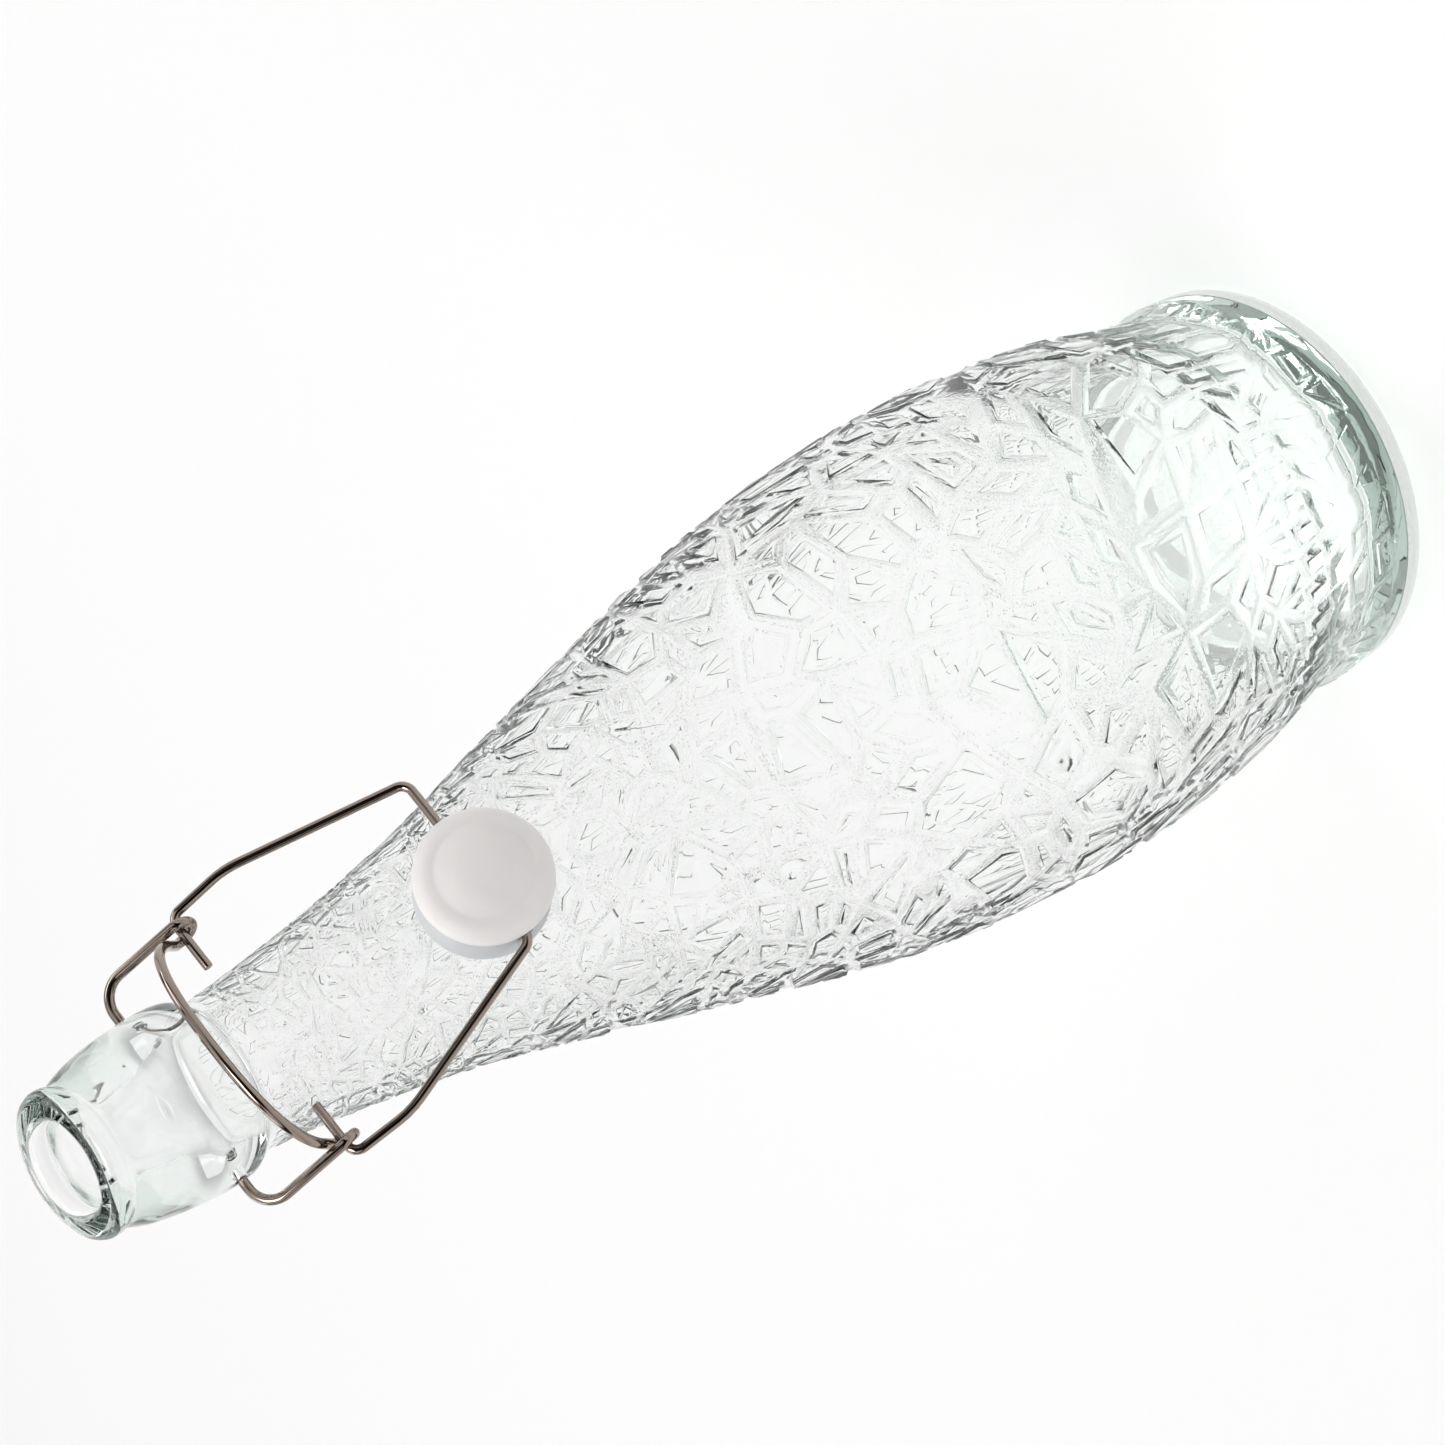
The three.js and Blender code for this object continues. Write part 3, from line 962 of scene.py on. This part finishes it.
class GROWLER_OT_bail(bpy.types.Operator):
    """Bail wire that carries the stopper"""
    bl_idname = "growler.bail"
    bl_label = "Bail wire"

    def execute(self, context):
        settings = context.scene.growler_wire
        bm = wire_bmesh(bail_route(settings), settings.bail_radius)
        make_object("bail_steel", bm, "bail", "bail_wire", drawn_steel(settings))
        return {"FINISHED"}


# ---- Stopper ----------------------------------------------------------------------------------------

STOPPER_X = -2.6
STOPPER_TILT = math.radians(20)
STOPPER_SEGMENTS = 96
HOLE_REACH = 20 * MM
CAP_HOLE_RADIUS = 1.25 * MM
SEAL_HOLE_RADIUS = 1.6 * MM
CAP_SHOULDER = 3.2
CROWN_OUTLINE = ((9.5, 5.38), (8.7, 5.5), (7.5, 6.1), (5.6, 6.95), (3, 7.5), (0, 7.65))
PLUG_EDGE = 1.2
SEAL_EDGE = 1.5


def stopper_matrix():
    """Carries the stopper, built about +Z from the crossbar, to its place on the bail."""
    place = Matrix.Translation((STOPPER_X * MM, CROSSBAR.y, CROSSBAR.z))
    return place @ Matrix.Rotation(math.pi / 2 - STOPPER_TILT, 4, "X")


def drill_crossbar_hole(piece, radius):
    """Cuts the crossbar's hole across the stopper."""
    middle = Vector((STOPPER_X * MM, CROSSBAR.y, CROSSBAR.z))
    reach = Vector((HOLE_REACH, 0, 0))
    drill(piece, radius, middle - reach, middle + reach)


class GROWLER_OT_cap(bpy.types.Operator):
    """Moulded stopper cap"""
    bl_idname = "growler.cap"
    bl_label = "Stopper cap"

    def execute(self, context):
        settings = context.scene.growler_stopper
        rim = settings.cap_radius / MM
        shoulder = arc((rim - CAP_SHOULDER, 2.2), CAP_SHOULDER, 0, 72, 10)
        crown = [tuple(p) for p in curve_through(CROWN_OUTLINE, 4)]
        profile = [
            (0, -4.6), (7.6, -4.6), (8.1, -4.4), (8.4, -3.8), (8.4, 0.9), (8.7, 1.2), (rim - 0.5, 1.2),
            (rim - 0.15, 1.35), (rim, 1.7), *shoulder, *crown,
        ]
        bm = spun(profile, STOPPER_SEGMENTS)
        bmesh.ops.recalc_face_normals(bm, faces=bm.faces)
        bmesh.ops.transform(bm, matrix=stopper_matrix(), verts=bm.verts)
        plastic = moulded_plastic(settings)
        piece = make_object("cap_plastic", bm, "stopper", "stopper_cap", plastic)
        drill_crossbar_hole(piece, CAP_HOLE_RADIUS)
        require_closed(piece)
        return {"FINISHED"}


class GROWLER_OT_seal(bpy.types.Operator):
    """Silicone seal with the plug that enters the bore"""
    bl_idname = "growler.seal"
    bl_label = "Stopper seal"

    def execute(self, context):
        settings = context.scene.growler_stopper
        outer = settings.seal_radius / MM
        plug = settings.plug_radius / MM
        profile = [
            (0, -9.6), (plug - PLUG_EDGE, -9.6), *arc((plug - PLUG_EDGE, -8.4), PLUG_EDGE, -70, 0, 4),
            (plug, -7.9), (plug + 0.3, -7.8), *arc((outer - SEAL_EDGE, -6.3), SEAL_EDGE, -90, 0, 8),
            (outer, 0.6), (outer - 0.3, 0.9), (9.0, 0.9),
            (8.7, 0.6), (8.7, -4.9), (0, -4.9),
        ]
        bm = spun(profile, STOPPER_SEGMENTS)
        bmesh.ops.recalc_face_normals(bm, faces=bm.faces)
        bmesh.ops.transform(bm, matrix=stopper_matrix(), verts=bm.verts)
        silicone = cast_silicone(settings)
        piece = make_object("seal_silicone", bm, "stopper", "stopper_seal", silicone)
        drill_crossbar_hole(piece, SEAL_HOLE_RADIUS)
        require_closed(piece)
        return {"FINISHED"}


# ---- Studio -----------------------------------------------------------------------------------------

GLASS_BOUNCES = 8
CAMERA_PLACE = Vector((-0.2348, -0.8255, 0.7449))
CAMERA_RIGHT = Vector((-0.6146, -0.3365, -0.7135))
CAMERA_UP = Vector((0.7532, -0.5191, -0.4040))
CAMERA_BACK = Vector((-0.2344, -0.7857, 0.5725))
SENSOR_WIDTH = 36
FOCAL_LENGTH = 139.74
VIEW_DISTANCE = 50
FLOOR_HALF_SIDE = 6.0


def studio_camera():
    data = bpy.data.cameras.new("camera")
    data.sensor_width = SENSOR_WIDTH
    data.lens = FOCAL_LENGTH
    data.clip_end = VIEW_DISTANCE
    camera = bpy.data.objects.new("camera", data)
    bpy.context.scene.collection.objects.link(camera)
    turn = Matrix((CAMERA_RIGHT, CAMERA_UP, CAMERA_BACK)).transposed().to_4x4()
    camera.matrix_world = Matrix.Translation(CAMERA_PLACE) @ turn
    bpy.context.scene.camera = camera


# Each softbox as name, place, width and depth, and share of the power.
SOFTBOXES = (
    ("key", (-0.4, -0.45, 2.1), (1.1, 0.8), 1.62),
    ("side", (0.95, 0.1, 0.95), (0.25, 0.9), 0.3),
    ("back", (-0.2, 1.1, 1.0), (0.9, 0.25), 0.3),
)
SOFTBOX_AIM = Vector((0, 0, 0.15))


def softbox(name, place, size, power):
    data = bpy.data.lights.new(name, "AREA")
    data.shape = "RECTANGLE"
    data.size, data.size_y = size
    data.energy = power
    lamp = bpy.data.objects.new(name, data)
    bpy.context.scene.collection.objects.link(lamp)
    turn = (SOFTBOX_AIM - Vector(place)).to_track_quat("-Z", "Y")
    lamp.matrix_world = Matrix.Translation(place) @ turn.to_matrix().to_4x4()


DARK_SIDE = (-0.26, -0.79, 0.56)
WHITE = (1.0, 0.985, 1.0)
DARK = (0.02, 0.018, 0.016)
WORLD_STRENGTH = 0.95


def studio_world():
    """A white room with dark flags: two bands round it and a patch behind the camera.

    They give the glass and the steel their thin dark lines."""
    world = bpy.data.worlds.new("studio")
    bpy.context.scene.world = world
    world.use_nodes = True
    tree = world.node_tree
    tree.nodes.clear()
    heading = add_node(tree, "ShaderNodeTexCoord").outputs["Generated"]
    split = add_node(tree, "ShaderNodeSeparateXYZ", links={"Vector": heading})
    bands = add_node(tree, "ShaderNodeValToRGB", links={"Fac": split.outputs["Z"]}, stops=(
        (0.0, WHITE), (0.28, WHITE), (0.31, DARK), (0.5, DARK), (0.53, WHITE),
        (0.79, WHITE), (0.81, DARK), (0.87, DARK), (0.89, WHITE),
    ))
    toward = add_node(
        tree, "ShaderNodeVectorMath", {"operation": "DOT_PRODUCT", 1: DARK_SIDE}, {0: heading}
    )
    patch = add_node(tree, "ShaderNodeValToRGB", links={"Fac": toward.outputs["Value"]}, stops=(
        (0.0, (1, 1, 1)), (0.84, (1, 1, 1)), (0.88, DARK),
    ))
    both = add_node(
        tree, "ShaderNodeVectorMath", {"operation": "MULTIPLY"},
        {0: bands.outputs["Color"], 1: patch.outputs["Color"]}
    )
    background = add_node(
        tree, "ShaderNodeBackground", {"Strength": WORLD_STRENGTH}, {"Color": both.outputs["Vector"]}
    )
    output = add_node(tree, "ShaderNodeOutputWorld")
    tree.links.new(background.outputs["Background"], output.inputs["Surface"])


class GROWLER_OT_studio(bpy.types.Operator):
    """Pale floor, soft light and the camera"""
    bl_idname = "growler.studio"
    bl_label = "Studio"

    def execute(self, context):
        settings = context.scene.growler_studio
        bm = bmesh.new()
        bmesh.ops.create_grid(bm, x_segments=1, y_segments=1, size=FLOOR_HALF_SIDE)
        mesh = bpy.data.meshes.new("floor")
        bm.to_mesh(mesh)
        bm.free()
        floor = bpy.data.objects.new("floor", mesh)
        context.scene.collection.objects.link(floor)
        material, _, shader, _ = new_material("painted studio floor")
        shader.inputs["Base Color"].default_value = (*settings.floor_colour, 1)
        shader.inputs["Roughness"].default_value = 0.7
        mesh.materials.append(material)
        studio_world()
        for name, place, size, share in SOFTBOXES:
            softbox(name, place, size, share * settings.softbox_power)
        studio_camera()
        context.scene.view_settings.view_transform = "Standard"
        for kind in ("max", "glossy", "transmission", "transparent_max"):
            setattr(context.scene.cycles, kind + "_bounces", GLASS_BOUNCES)
        return {"FINISHED"}


# ---- Add-on -----------------------------------------------------------------------------------------

class GROWLER_PT_pieces(bpy.types.Panel):
    """Lists the growler's pieces"""
    bl_idname = "GROWLER_PT_pieces"
    bl_label = "Growler"
    bl_space_type = "VIEW_3D"
    bl_region_type = "UI"
    bl_category = "Growler"

    def draw(self, context):
        for operator in OPERATORS:
            self.layout.operator(operator.bl_idname)


OPERATORS = (
    GROWLER_OT_studio, GROWLER_OT_bottle, GROWLER_OT_lever, GROWLER_OT_bail, GROWLER_OT_cap, GROWLER_OT_seal,
)
SETTINGS = {
    "growler_glass": GlassSettings,
    "growler_wire": WireSettings,
    "growler_stopper": StopperSettings,
    "growler_studio": StudioSettings,
}


def register():
    for kind in (*SETTINGS.values(), *OPERATORS, GROWLER_PT_pieces):
        bpy.utils.register_class(kind)
    for name, kind in SETTINGS.items():
        setattr(bpy.types.Scene, name, PointerProperty(type=kind))


def unregister():
    for name in SETTINGS:
        delattr(bpy.types.Scene, name)
    for kind in (GROWLER_PT_pieces, *OPERATORS[::-1], *reversed(SETTINGS.values())):
        bpy.utils.unregister_class(kind)


def main():
    register()
    bpy.ops.growler.studio()
    bpy.ops.growler.bottle()
    bpy.ops.growler.lever()
    bpy.ops.growler.bail()
    bpy.ops.growler.cap()
    bpy.ops.growler.seal()


if __name__ == "__main__":
    main()
